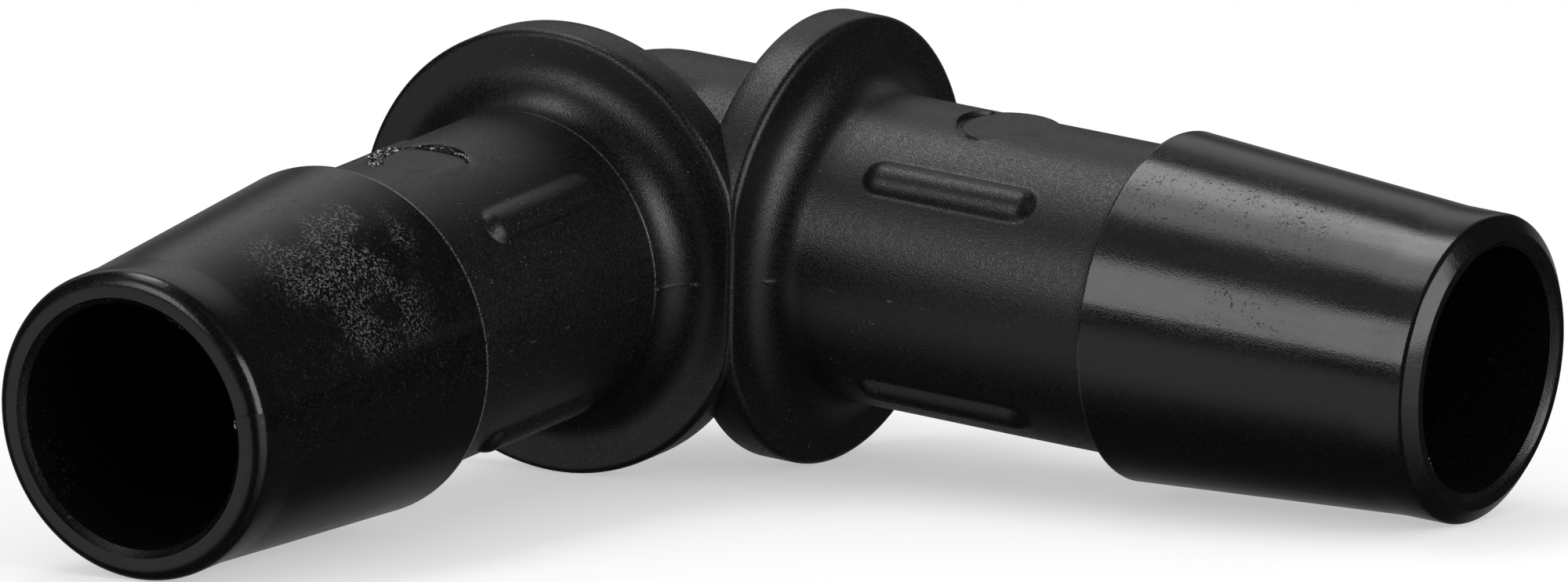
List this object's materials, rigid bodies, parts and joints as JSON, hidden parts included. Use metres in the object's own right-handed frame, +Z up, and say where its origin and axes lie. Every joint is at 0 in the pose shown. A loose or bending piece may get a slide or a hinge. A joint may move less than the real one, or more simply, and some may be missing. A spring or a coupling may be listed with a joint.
{
  "type": "hose connector",
  "caption": "Right-angle plastic connector that joins two hoses, with a barbed spigot, a ribbed neck and a stop flange on each leg.",
  "frame": {"origin": "centre of the bounding box in plan, on the surface the elbow rests on", "axes": "in plan one leg points along -Y and the other along +X; +Z is up, and both legs slope down towards their tips as the elbow rests on its two flanges and two tips"},
  "size_m": [0.0614, 0.0614, 0.0233],
  "materials": {
    "plastic": "matte"
  },
  "bodies": {
    "root": {"hose_elbow": "plastic"}
  },
  "joints": []
}
